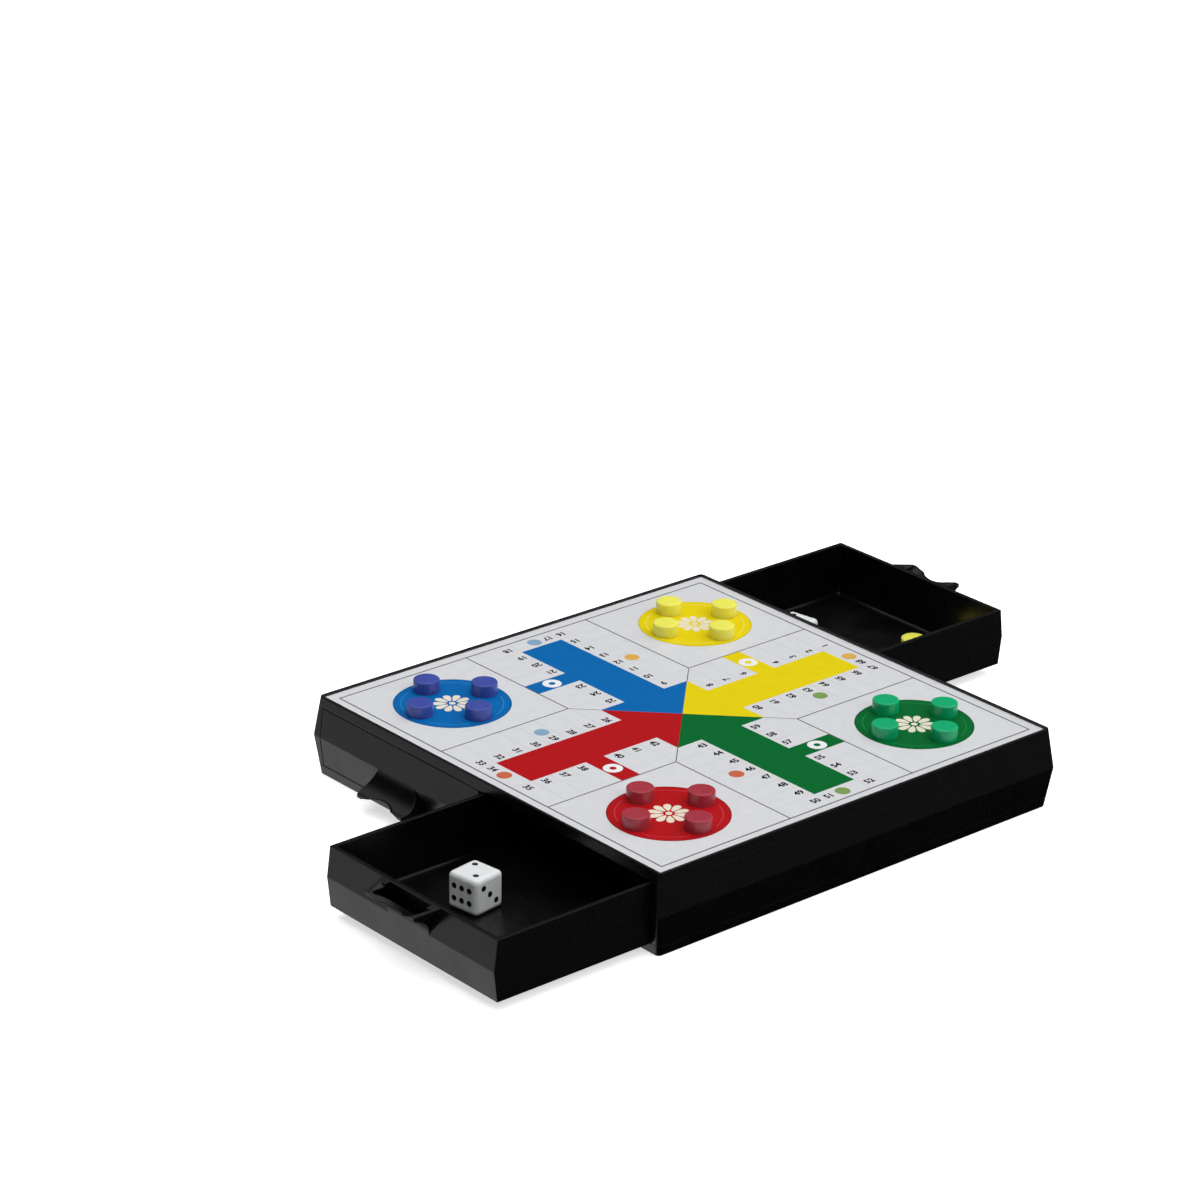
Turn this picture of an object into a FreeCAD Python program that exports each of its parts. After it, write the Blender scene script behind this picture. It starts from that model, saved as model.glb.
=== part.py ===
import FreeCAD, Part
import math
import os
import Sketcher
from FreeCAD import Placement, Rotation, Vector

# Double-sided magnetic travel board. A square black case carries a printed steel sheet on each face
# and four drawers, two facing up and two facing down. Millimetres, +Z up, front towards -Y, with the
# origin in the middle of the underside.

doc = FreeCAD.newDocument("magnetic_board")
sheet = doc.addObject("Spreadsheet::Sheet", "sizes")

SIZES = [
    ("case_side", 220, "side of the square case"),
    ("case_height", 36.4, "height of the case over both panels"),
    ("case_bulge", 2.3, "ridge at half height of the sides of the case"),
    ("panel_thickness", 2.6, "plate of the top and bottom panel"),
    ("edge_width", 1, "raised edge round each printed sheet"),
    ("recess_depth", 1.5, "depth of the recess for a printed sheet"),
    ("sheet_thickness", 0.4, "printed steel sheet"),
    ("sheet_gap", 0.2, "play of a sheet inside its raised edge"),
    ("wall_thickness", 3.4, "side wall of the case"),
    ("divider_thickness", 1.6, "spine and cross wall between the drawers"),
    ("divider_setback", 2, "end of the spine inside the mouth of the case"),
    ("corner_round", 2, "rounding of the upright corners of the case"),
    ("panel_round", 0.4, "rounding of a panel's outer edge"),
    ("tongue_width", 1.2, "tongue on a panel, glued in a groove of the side wall"),
    ("tongue_height", 1.2, "height of that tongue"),
    ("tongue_end_gap", 10, "distance from the end of a tongue to the end of the case"),
    ("tongue_gap", 0.15, "play of a tongue in its groove"),
    ("drawer_side_gap", 0.4, "play beside a drawer"),
    ("drawer_back_gap", 0.4, "play behind a closed drawer"),
    ("drawer_floor_gap", 0.3, "play under a drawer's floor"),
    ("drawer_rim_gap", 0.3, "play between a drawer's rim and its rails"),
    ("drawer_wall", 1.8, "wall of a drawer"),
    ("drawer_floor", 1.8, "floor of a drawer"),
    ("drawer_round", 1.5, "inside rounding of a drawer"),
    ("rail_width", 2.4, "rails and mouth bars moulded on a panel"),
    ("rail_height", 2, "height of the rails above the plate of a panel"),
    ("stop_hold", 20, "what a drawer's travel to its stop falls short of half the case"),
    ("stop_travel", "=case_side / 2 - stop_hold", "travel of a drawer to its stop"),
    ("stop_width", 24, "stop rib on a panel"),
    ("stop_thickness", 2, "thickness of a stop rib"),
    ("nib_width", 12, "stop nib on the back wall of a drawer"),
    ("nib_height", 1.6, "height of that nib above the rim"),
    ("pull_reach", 11, "finger pull, out from the rim"),
    ("pull_wall_width", 36, "width of the pull at the rim, on the wall"),
    ("pull_tip_width", 30, "width of the pull at its lip"),
    ("pull_ridge_width", 25, "width of the pull at the ridge"),
    ("pull_slope", 2, "drop of the side rims of the pull towards the lip"),
    ("pull_skin", 1.4, "wall of the pull"),
    ("hollow_width", 26, "hollow of the pull"),
    ("scoop_margin", 2, "radius of the scooped underside, less than the height of the ridge"),
    ("notch_radius", 34, "finger notch in the lip"),
    ("notch_depth", 2.4, "depth of that notch"),
    ("open_front_right", 78.1, "front-right drawer, pulled out"),
    ("open_back_left", 84.6, "back-left drawer, pulled out"),
    ("pawn_diameter", 11.5, "pawn"),
    ("pawn_height", 5.6, "height of a pawn"),
    ("pawn_round", 0.7, "rounding of a pawn's upper edge"),
    ("magnet_diameter", 6, "magnet disc in the foot of a pawn"),
    ("magnet_thickness", 2, "thickness of a magnet"),
    ("magnet_gap", 0.2, "glue gap round a magnet"),
    ("home_share", 0.316, "middle of a home circle from the middle of the board, as a share of its side"),
    ("ring_share", 0.08, "pawn from the middle of its home circle, as a share of the board's side"),
    ("die_side", 16, "die"),
    ("die_round", 2.2, "rounding of a die"),
    ("pip_pitch", 3.7, "pip from the middle of its face"),
    ("six_column", 4.1, "outer pips of the six, along a row"),
    ("six_row", 2.75, "rows of the six, from the middle of the face"),
    ("pip_diameter", 2.5, "pip"),
    ("pip_depth", 0.5, "depth of a pip"),
    ("die_front_side", 40.5, "die in the front-right drawer, from the middle of the drawer row"),
    ("die_front_inset", 42.5, "the same die, from the rim of the drawer front"),
    ("die_front_turn", 7.8, "the same die, degrees about the upright"),
    ("die_back_side", 66.9, "die in the back-left drawer, from the middle of the drawer row"),
    ("die_back_inset", 66, "the same die, from the rim of the drawer front"),
    ("die_back_turn", 10, "the same die, degrees about the upright"),
    ("spare_side", 35.1, "spare pawn in the back-left drawer, from the middle of the drawer row"),
    ("spare_inset", 20.9, "the same pawn, from the rim of the drawer front"),
]

for row, (alias, value, note) in enumerate(SIZES, start=1):
    sheet.set("A%d" % row, note)
    sheet.set("B%d" % row, str(value))
    sheet.setAlias("B%d" % row, alias)
doc.recompute()

# Places and fits that several pieces share, each an expression of the sizes
HALF = "(sizes.case_side / 2)"
TOP_INSIDE = "(sizes.case_height - sizes.panel_thickness)"
SKIRT = "(sizes.panel_thickness + sizes.rail_height)"
FRAME_TOP = f"(sizes.case_height - {SKIRT})"
LEAN = "(2 * sizes.case_bulge / sizes.case_height)"
DRAWER_UNDERSIDE = f"({SKIRT} + sizes.drawer_floor_gap)"
FRONT_PROUD = f"({LEAN} * {DRAWER_UNDERSIDE})"
FRONT_BULGE = f"(sizes.case_bulge - {FRONT_PROUD})"
DRAWER_WIDTH = f"({HALF} - sizes.wall_thickness - sizes.divider_thickness / 2 - 2 * sizes.drawer_side_gap)"
DRAWER_DEPTH = f"({HALF} + {FRONT_PROUD} - sizes.divider_thickness / 2 - sizes.drawer_back_gap)"
DRAWER_MIDDLE = f"(sizes.divider_thickness / 2 + sizes.drawer_side_gap + {DRAWER_WIDTH} / 2)"
DRAWER_TOP = f"({FRAME_TOP} - sizes.drawer_rim_gap)"
DRAWER_HEIGHT = f"({DRAWER_TOP} - {DRAWER_UNDERSIDE})"
NIB_FACE = "(sizes.divider_thickness / 2 + sizes.drawer_back_gap + sizes.drawer_wall)"
RIDGE = f"({DRAWER_HEIGHT} / 2)"
SCOOP_RADIUS = f"({RIDGE} - sizes.scoop_margin)"
FRONT_SLANT = f"sqrt({RIDGE} ^ 2 + {FRONT_BULGE} ^ 2)"
SCOOP_OUT = f"({FRONT_BULGE} + {SCOOP_RADIUS} * {RIDGE} / {FRONT_SLANT})"
SCOOP_UP = f"({RIDGE} - {SCOOP_RADIUS} * {FRONT_BULGE} / {FRONT_SLANT})"
LIP_TOP = f"({DRAWER_HEIGHT} - sizes.pull_slope)"
SHEET_SIDE = "(sizes.case_side - 2 * sizes.edge_width - 2 * sizes.sheet_gap)"
HOME_OFFSET = "(sizes.home_share * sizes.case_side)"
HOME_RING = "(sizes.ring_share * sizes.case_side)"
BOARD_TOP = "(sizes.case_height - sizes.recess_depth + sizes.sheet_thickness)"
DRAWER_INSIDE = f"({DRAWER_UNDERSIDE} + sizes.drawer_floor)"
FRONT_RIM = f"({HALF} + {FRONT_PROUD} + sizes.open_front_right)"
BACK_RIM = f"({HALF} + {FRONT_PROUD} + sizes.open_back_left)"

nodes = []


def finish(piece, label):
    """Name a finished piece and put it on the list of pieces to write."""
    piece.Label = label
    nodes.append(piece)
    return piece


def put(piece, x, y, z, rotation=Rotation()):
    """Turn a piece, then bind the three parts of its place to expressions."""
    piece.Placement = Placement(Vector(), rotation)
    for axis, expression in zip("xyz", (x, y, z)):
        piece.setExpression("Placement.Base." + axis, expression)


def new_sketch(body, role, name, level=None):
    """An empty sketch on one of the body's origin planes, moved along the normal by an expression."""
    sketch = body.newObject("Sketcher::SketchObject", name)
    plane = next(item for item in body.Origin.OriginFeatures if item.Role == role)
    sketch.AttachmentSupport = [(plane, "")]
    sketch.MapMode = "FlatFace"
    if level:
        sketch.setExpression("AttachmentOffset.Base.z", level)
    return sketch


def pin(sketch, kind, curve, point, expression):
    """Hold one coordinate of a point at an expression, measured from the sketch's origin."""
    value = float(sketch.evalExpression(expression))
    if value < 0:
        index = sketch.addConstraint(Sketcher.Constraint(kind, curve, point, -1, 1, -value))
        sketch.setExpression("Constraints[%d]" % index, "-(%s)" % expression)
    else:
        index = sketch.addConstraint(Sketcher.Constraint(kind, -1, 1, curve, point, value))
        sketch.setExpression("Constraints[%d]" % index, expression)


def outline(sketch, corners):
    """Draw a closed polygon whose corners are pairs of expressions."""
    spots = [Vector(*(float(sketch.evalExpression(item)) for item in corner)) for corner in corners]
    count = len(spots)
    first = sketch.GeometryCount
    for index in range(count):
        sketch.addGeometry(Part.LineSegment(spots[index], spots[(index + 1) % count]))
    for index in range(count):
        follower = first + (index + 1) % count
        sketch.addConstraint(Sketcher.Constraint("Coincident", first + index, 2, follower, 1))
    for index, (across, along) in enumerate(corners):
        pin(sketch, "DistanceX", first + index, 1, across)
        pin(sketch, "DistanceY", first + index, 1, along)


def rectangle(sketch, x0, x1, y0, y1):
    """Draw a rectangle between four expressions."""
    outline(sketch, [(x0, y0), (x1, y0), (x1, y1), (x0, y1)])


def rounded_square(sketch, half, radius):
    """Draw a square about the origin with rounded corners, its half side and radius bound to expressions."""
    size = float(sketch.evalExpression(half))
    bend = float(sketch.evalExpression(radius))
    for quarter in range(4):
        turn = Rotation(Vector(0, 0, 1), 90 * quarter)
        start = turn.multVec(Vector(bend - size, -size))
        end = turn.multVec(Vector(size - bend, -size))
        middle = turn.multVec(Vector(size - bend, bend - size))
        sketch.addGeometry(Part.LineSegment(start, end))
        corner = Part.Circle(middle, Vector(0, 0, 1), bend)
        angle = math.radians(90 * quarter)
        sketch.addGeometry(Part.ArcOfCircle(corner, angle - math.pi / 2, angle))
    for curve in range(8):
        sketch.addConstraint(Sketcher.Constraint("Tangent", curve, 2, (curve + 1) % 8, 1))
    for line, kind, place in ((0, "DistanceY", f"-{half}"), (2, "DistanceX", half),
                              (4, "DistanceY", half), (6, "DistanceX", f"-{half}")):
        sketch.addConstraint(Sketcher.Constraint("Horizontal" if kind == "DistanceY" else "Vertical", line))
        pin(sketch, kind, line, 1, place)
    for corner in (3, 5, 7):
        sketch.addConstraint(Sketcher.Constraint("Equal", 1, corner))
    index = sketch.addConstraint(Sketcher.Constraint("Radius", 1, bend))
    sketch.setExpression("Constraints[%d]" % index, radius)


def circle(sketch, across, along, radius):
    """Draw a circle with its middle and radius bound to expressions."""
    middle = Vector(float(sketch.evalExpression(across)), float(sketch.evalExpression(along)))
    size = float(sketch.evalExpression(radius))
    curve = sketch.addGeometry(Part.Circle(middle, Vector(0, 0, 1), size))
    pin(sketch, "DistanceX", curve, 3, across)
    pin(sketch, "DistanceY", curve, 3, along)
    index = sketch.addConstraint(Sketcher.Constraint("Radius", curve, size))
    sketch.setExpression("Constraints[%d]" % index, radius)


def grow(body, sketch, name, length, side="One side", reverse=False):
    """Pad a sketch by an expression."""
    pad = body.newObject("PartDesign::Pad", name)
    pad.Profile = sketch
    pad.SideType = side
    pad.Reversed = reverse
    pad.setExpression("Length", length)
    doc.recompute()
    return pad


def loft(body, name, sections):
    """A solid with straight sides through rounded squares, each a pair of level and half side."""
    squares = []
    for number, (level, half) in enumerate(sections):
        square = new_sketch(body, "XY_Plane", "%s_%d" % (name, number), level)
        rounded_square(square, half, "sizes.corner_round")
        squares.append(square)
    solid = body.newObject("PartDesign::AdditiveLoft", name)
    solid.Profile = squares[0]
    solid.Sections = squares[1:]
    solid.Ruled = True
    doc.recompute()
    return solid


def sink(body, sketch, name, length, side="One side", reverse=False):
    """Cut a sketch into the body by an expression, and make sure that it took material away."""
    before = body.Shape.Volume
    pocket = body.newObject("PartDesign::Pocket", name)
    pocket.Profile = sketch
    pocket.SideType = side
    pocket.Reversed = reverse
    pocket.setExpression("Length", length)
    doc.recompute()
    if body.Shape.Volume >= before:
        raise RuntimeError(name + " cuts nothing")
    return pocket


def soften(body, feature, name, radius, wanted):
    """Fillet the edges of a feature that pass a test of their two ends."""
    chosen = []
    for index, edge in enumerate(feature.Shape.Edges, start=1):
        ends = [vertex.Point for vertex in edge.Vertexes]
        if len(ends) == 2 and wanted(ends[0], ends[1]):
            chosen.append("Edge%d" % index)
    fillet = body.newObject("PartDesign::Fillet", name)
    fillet.Base = (feature, chosen)
    fillet.setExpression("Radius", radius)
    doc.recompute()
    return fillet


# Case frame: two side walls, the spine and the cross wall, between the two panels. The sides of the
# case lean out from both panels to a ridge at half height.
frame = doc.addObject("PartDesign::Body", "Frame")
skirt_half = f"({HALF} + {LEAN} * {SKIRT})"
loft(frame, "FrameBlock", [(SKIRT, skirt_half), ("sizes.case_height / 2", f"({HALF} + sizes.case_bulge)"),
                           (FRAME_TOP, skirt_half)])

bays = new_sketch(frame, "XY_Plane", "DrawerBays", FRAME_TOP)
bay_in = "sizes.divider_thickness / 2"
bay_out = f"{HALF} - sizes.wall_thickness"
for x_sign in ("", "-"):
    for y_sign in ("", "-"):
        rectangle(bays, f"{x_sign}({bay_in})", f"{x_sign}({bay_out})",
                  f"{y_sign}({bay_in})", f"{y_sign}({HALF} - sizes.divider_setback)")
sink(frame, bays, "DrawerBayCut", f"{FRAME_TOP} - {SKIRT}")

mouths = new_sketch(frame, "XY_Plane", "Mouths", FRAME_TOP)
for y_sign in ("", "-"):
    rectangle(mouths, f"-({bay_out})", bay_out, f"{y_sign}({HALF} - sizes.divider_setback)",
              f"{y_sign}({HALF} + sizes.case_bulge + sizes.divider_setback)")
sink(frame, mouths, "MouthCut", f"{FRAME_TOP} - {SKIRT}")

groove_middle = f"({HALF} - sizes.wall_thickness / 2)"
groove_half = "(sizes.tongue_width / 2 + sizes.tongue_gap)"
groove_end = f"({HALF} - sizes.tongue_end_gap + sizes.tongue_gap)"
GROOVED_SIDES = (("UpperGrooves", FRAME_TOP, False), ("LowerGrooves", SKIRT, True))
for name, level, reverse in GROOVED_SIDES:
    grooves = new_sketch(frame, "XY_Plane", name, level)
    for sign in ("", "-"):
        rectangle(grooves, f"{sign}({groove_middle} - {groove_half})",
                  f"{sign}({groove_middle} + {groove_half})", f"-{groove_end}", groove_end)
    sink(frame, grooves, name + "Cut", "sizes.tongue_height + sizes.tongue_gap", reverse=reverse)
finish(frame, "case_frame")


def make_panel(label, level, rotation):
    """One panel: raised edge and sheet recess outside, tongues, drawer rails and stop ribs inside."""
    panel = doc.addObject("PartDesign::Body", label.title().replace("_", ""))
    levels = [("-sizes.rail_height", skirt_half), ("sizes.panel_thickness", HALF)]
    loft(panel, label + "_block", levels)
    recess = new_sketch(panel, "XY_Plane", label + "_recess", "sizes.panel_thickness")
    reach = f"({HALF} - sizes.edge_width)"
    rectangle(recess, f"-{reach}", reach, f"-{reach}", reach)
    dished = sink(panel, recess, label + "_recess_cut", "sizes.recess_depth")
    thickness = sheet.panel_thickness
    outermost = sheet.case_side / 2 - 0.01

    def outer_edge(start, end):
        outside = all(max(abs(point.x), abs(point.y)) > outermost for point in (start, end))
        return outside and min(start.z, end.z) > thickness - 0.01

    soften(panel, dished, label + "_edge", "sizes.panel_round", outer_edge)

    # A hollow over each bay leaves rails along both sides of every drawer and a bar along each mouth
    hollows = new_sketch(panel, "XY_Plane", label + "_hollows", "-sizes.rail_height")
    for x_sign in ("", "-"):
        for y_sign in ("", "-"):
            rectangle(hollows, f"{x_sign}({bay_in} + sizes.rail_width)",
                      f"{x_sign}({bay_out} - sizes.rail_width)",
                      f"{y_sign}({bay_in})", f"{y_sign}({HALF} - sizes.rail_width)")
    sink(panel, hollows, label + "_hollow_cut", "sizes.rail_height", reverse=True)

    # The stop ribs hang before the nibs of the two drawers that face this panel, front right and back left
    stops = new_sketch(panel, "XY_Plane", label + "_stops")
    stop = f"({NIB_FACE} + sizes.stop_travel)"
    for x_sign, y_sign in (("", "-"), ("-", "")):
        rectangle(stops, f"{x_sign}({DRAWER_MIDDLE} - sizes.stop_width / 2)",
                  f"{x_sign}({DRAWER_MIDDLE} + sizes.stop_width / 2)",
                  y_sign + stop, f"{y_sign}({stop} + sizes.stop_thickness)")
    grow(panel, stops, label + "_stop_pad", "sizes.rail_height", reverse=True)

    tongues = new_sketch(panel, "XY_Plane", label + "_tongues", "-sizes.rail_height")
    tongue_end = f"({HALF} - sizes.tongue_end_gap)"
    for sign in ("", "-"):
        rectangle(tongues, f"{sign}({groove_middle} - sizes.tongue_width / 2)",
                  f"{sign}({groove_middle} + sizes.tongue_width / 2)", f"-{tongue_end}", tongue_end)
    grow(panel, tongues, label + "_tongue_pad", "sizes.tongue_height", reverse=True)
    put(panel, "0", "0", level, rotation)
    return finish(panel, label)


OVER = Rotation(Vector(1, 0, 0), 180)
make_panel("top_panel", TOP_INSIDE, Rotation())
make_panel("bottom_panel", "sizes.panel_thickness", OVER)


def make_sheet(label, level):
    """One printed steel sheet, lying in its recess."""
    plate = doc.addObject("Part::Box", label.title().replace("_", ""))
    plate.setExpression("Length", SHEET_SIDE)
    plate.setExpression("Width", SHEET_SIDE)
    plate.setExpression("Height", "sizes.sheet_thickness")
    put(plate, f"-{SHEET_SIDE} / 2", f"-{SHEET_SIDE} / 2", level)
    return finish(plate, label)


make_sheet("parcheesi_sheet", "sizes.case_height - sizes.recess_depth")
make_sheet("track_sheet", "sizes.recess_depth - sizes.sheet_thickness")


def make_hollow(body, label):
    """The outline of the pull's hollow: an upright back and lip, and a floor that follows the scoop."""
    sketch = new_sketch(body, "YZ_Plane", label + "_hollow")

    def number(expression):
        return float(sketch.evalExpression(expression))

    back = f"-({FRONT_BULGE} / 2)"
    lip = "-(sizes.pull_reach - sizes.pull_skin)"
    above = f"{DRAWER_HEIGHT} + sizes.pull_skin"
    radius = f"{SCOOP_RADIUS} + sizes.pull_skin"
    middle = Vector(-number(SCOOP_OUT), number(SCOOP_UP))
    low = Vector(number(back), middle.y + (number(radius) ** 2 - (number(back) - middle.x) ** 2) ** 0.5)
    high = Vector(number(lip), middle.y + (number(radius) ** 2 - (number(lip) - middle.x) ** 2) ** 0.5)
    between = middle + ((low + high) / 2 - middle).normalize() * number(radius)
    top_back = Vector(number(back), number(above))
    top_lip = Vector(number(lip), number(above))
    sketch.addGeometry(Part.LineSegment(low, top_back))
    sketch.addGeometry(Part.LineSegment(top_back, top_lip))
    sketch.addGeometry(Part.LineSegment(top_lip, high))
    sketch.addGeometry(Part.Arc(low, between, high))
    for first, second in (((0, 2), (1, 1)), ((1, 2), (2, 1)), ((2, 2), (3, 2)), ((3, 1), (0, 1))):
        sketch.addConstraint(Sketcher.Constraint("Coincident", *first, *second))
    for curve in (0, 2):
        sketch.addConstraint(Sketcher.Constraint("Vertical", curve))
    pin(sketch, "DistanceX", 0, 2, back)
    pin(sketch, "DistanceY", 0, 2, above)
    pin(sketch, "DistanceX", 1, 2, lip)
    pin(sketch, "DistanceY", 1, 2, above)
    pin(sketch, "DistanceX", 3, 3, f"-{SCOOP_OUT}")
    pin(sketch, "DistanceY", 3, 3, SCOOP_UP)
    index = sketch.addConstraint(Sketcher.Constraint("Radius", 3, number(radius)))
    sketch.setExpression("Constraints[%d]" % index, radius)
    return sketch


def make_drawer(label, x, y, z, rotation):
    """One drawer with its finger pull. It is drawn facing -Y, its front rim on the X axis."""
    drawer = doc.addObject("PartDesign::Body", label.title().replace("_", ""))

    # Finger pull: a block that slopes from the rim to the lip, scooped out below the lip
    side = new_sketch(drawer, "YZ_Plane", label + "_pull_side")
    outline(side, [("sizes.drawer_wall / 2", RIDGE), ("sizes.drawer_wall / 2", DRAWER_HEIGHT),
                   ("0", DRAWER_HEIGHT), ("-sizes.pull_reach", LIP_TOP),
                   ("-sizes.pull_reach", RIDGE)])
    grow(drawer, side, label + "_pull_block", "sizes.pull_wall_width", "Symmetric")
    scoop = new_sketch(drawer, "YZ_Plane", label + "_scoop")
    circle(scoop, f"-{SCOOP_OUT}", SCOOP_UP, SCOOP_RADIUS)
    sink(drawer, scoop, label + "_scoop_cut", "sizes.pull_wall_width * 2", "Symmetric")

    # Its flanks lean in from the rim to the ridge, and from the wall to the lip
    flare = new_sketch(drawer, "XZ_Plane", label + "_flare")
    wide = "(sizes.pull_wall_width / 2)"
    low = "(sizes.pull_ridge_width / 2)"
    tip = "(sizes.pull_tip_width / 2)"
    beyond = "(sizes.pull_wall_width / 2 + sizes.pull_skin)"
    for sign in ("", "-"):
        outline(flare, [(sign + low, RIDGE), (sign + wide, DRAWER_HEIGHT),
                        (sign + beyond, DRAWER_HEIGHT), (sign + beyond, RIDGE)])
    sink(drawer, flare, label + "_flare_cut", "sizes.pull_reach * 4", "Symmetric")
    taper = new_sketch(drawer, "XY_Plane", label + "_taper")
    for sign in ("", "-"):
        outline(taper, [(sign + wide, "0"), (sign + beyond, "0"), (sign + beyond, "-sizes.pull_reach"),
                        (sign + tip, "-sizes.pull_reach")])
    sink(drawer, taper, label + "_taper_cut", f"{DRAWER_HEIGHT} * 4", "Symmetric")

    # Hollow of the pull and the notch in its lip
    sink(drawer, make_hollow(drawer, label), label + "_hollow_cut", "sizes.hollow_width", "Symmetric")
    notch = new_sketch(drawer, "XZ_Plane", label + "_notch", "sizes.pull_reach")
    circle(notch, "0", f"{LIP_TOP} - sizes.notch_depth + sizes.notch_radius", "sizes.notch_radius")
    sink(drawer, notch, label + "_notch_cut", f"sizes.pull_reach - 2 * {FRONT_BULGE}")

    # Tray: a block with a ridged front, hollowed out from the rim
    profile = new_sketch(drawer, "YZ_Plane", label + "_profile")
    outline(profile, [("0", "0"), (DRAWER_DEPTH, "0"), (DRAWER_DEPTH, DRAWER_HEIGHT),
                      ("0", DRAWER_HEIGHT), (f"-{FRONT_BULGE}", RIDGE)])
    grow(drawer, profile, label + "_block", DRAWER_WIDTH, "Symmetric")
    cavity = new_sketch(drawer, "XY_Plane", label + "_cavity", DRAWER_HEIGHT)
    inside = f"({DRAWER_WIDTH} / 2 - sizes.drawer_wall)"
    rear = f"({DRAWER_DEPTH} - sizes.drawer_wall)"
    rectangle(cavity, f"-{inside}", inside, "sizes.drawer_wall", rear)
    tray = sink(drawer, cavity, label + "_cavity_cut", f"{DRAWER_HEIGHT} - sizes.drawer_floor")

    floor_level = sheet.drawer_floor
    x_inside = float(tray.evalExpression(inside)) + 0.01
    y_inside = float(tray.evalExpression(rear)) + 0.01

    def inner_edge(start, end):
        within = all(abs(point.x) < x_inside and 0.01 < point.y < y_inside for point in (start, end))
        return within and min(start.z, end.z) < floor_level + 0.01

    soften(drawer, tray, label + "_inside", "sizes.drawer_round", inner_edge)

    # Stop nib on the rim of the back wall
    nib = new_sketch(drawer, "XY_Plane", label + "_nib", DRAWER_HEIGHT)
    rectangle(nib, "-sizes.nib_width / 2", "sizes.nib_width / 2", rear, DRAWER_DEPTH)
    grow(drawer, nib, label + "_nib_pad", "sizes.nib_height")
    put(drawer, x, y, z, rotation)
    return finish(drawer, label)


UPPER_SIDE = f"(sizes.case_height - {DRAWER_UNDERSIDE})"
make_drawer("drawer_front_right", DRAWER_MIDDLE, f"-{FRONT_RIM}", DRAWER_UNDERSIDE, Rotation())
make_drawer("drawer_back_left", f"-{DRAWER_MIDDLE}", BACK_RIM, DRAWER_UNDERSIDE,
            Rotation(Vector(0, 0, 1), 180))
make_drawer("drawer_front_left", f"-{DRAWER_MIDDLE}", f"-({HALF} + {FRONT_PROUD})", UPPER_SIDE,
            Rotation(Vector(0, 1, 0), 180))
make_drawer("drawer_back_right", DRAWER_MIDDLE, f"({HALF} + {FRONT_PROUD})", UPPER_SIDE, OVER)


def make_pawn(name, x, y, foot):
    """One pawn, a short turned disc with a socket in its foot, and its magnet."""
    pawn = doc.addObject("PartDesign::Body", "Pawn" + name.title().replace("_", ""))
    half = new_sketch(pawn, "XZ_Plane", "pawn_%s_half" % name)
    radius = "sizes.pawn_diameter / 2"
    socket = "(sizes.magnet_diameter / 2 + sizes.magnet_gap)"
    depth = "(sizes.magnet_thickness + 2 * sizes.magnet_gap)"
    outline(half, [("0", depth), (socket, depth), (socket, "0"), (radius, "0"),
                   (radius, "sizes.pawn_height"), ("0", "sizes.pawn_height")])
    turned = pawn.newObject("PartDesign::Revolution", "pawn_%s_turned" % name)
    turned.Profile = half
    turned.ReferenceAxis = (half, ["V_Axis"])
    doc.recompute()
    crown = sheet.pawn_height
    rim = [index for index, edge in enumerate(turned.Shape.Edges, start=1)
           if abs(edge.BoundBox.ZMin - crown) < 1e-6 and abs(edge.BoundBox.ZMax - crown) < 1e-6]
    fillet = pawn.newObject("PartDesign::Fillet", "pawn_%s_rim" % name)
    fillet.Base = (turned, ["Edge%d" % index for index in rim])
    fillet.setExpression("Radius", "sizes.pawn_round")
    put(pawn, x, y, foot)
    finish(pawn, "pawn_" + name)

    magnet = doc.addObject("Part::Cylinder", "Magnet" + name.title().replace("_", ""))
    magnet.setExpression("Radius", "sizes.magnet_diameter / 2")
    magnet.setExpression("Height", "sizes.magnet_thickness")
    put(magnet, x, y, f"{foot} + sizes.magnet_gap")
    finish(magnet, "magnet_" + name)


HOMES = (("yellow", "-", ""), ("green", "", ""), ("red", "", "-"), ("blue", "-", "-"))
PLACES = (("-", "0"), ("0", "-"), ("", "0"), ("0", ""))
for colour, home_x, home_y in HOMES:
    for number, (step_x, step_y) in enumerate(PLACES, start=1):
        shift_x = "0" if step_x == "0" else step_x + HOME_RING
        shift_y = "0" if step_y == "0" else step_y + HOME_RING
        make_pawn("%s_%d" % (colour, number), f"{home_x}{HOME_OFFSET} + ({shift_x})",
                  f"{home_y}{HOME_OFFSET} + ({shift_y})", BOARD_TOP)
make_pawn("spare", "-sizes.spare_side", f"{BACK_RIM} - sizes.spare_inset", DRAWER_INSIDE)

# Pips of each face of a die: the face's axis and direction, then steps along the next two axes. The
# steps are shares of the pitch; the six has closer rows and longer rows than the other faces.
SIX_ROWS = ("-sizes.six_row / sizes.pip_pitch", "sizes.six_row / sizes.pip_pitch")
SIX_COLUMNS = ("-sizes.six_column / sizes.pip_pitch", "0", "sizes.six_column / sizes.pip_pitch")
PIPS = {
    ("z", 1): [(-1, 1), (1, -1)],
    ("z", -1): [(-1, -1), (-1, 1), (0, 0), (1, -1), (1, 1)],
    ("y", -1): [(row, column) for row in SIX_ROWS for column in SIX_COLUMNS],
    ("y", 1): [(0, 0)],
    ("x", 1): [(-1, 1), (0, 0), (1, -1)],
    ("x", -1): [(-1, -1), (-1, 1), (1, -1), (1, 1)],
}
NEXT_AXES = {"x": "yz", "y": "zx", "z": "xy"}
PIP_RADIUS = "((sizes.pip_diameter ^ 2 / 4 + sizes.pip_depth ^ 2) / (2 * sizes.pip_depth))"


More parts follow.
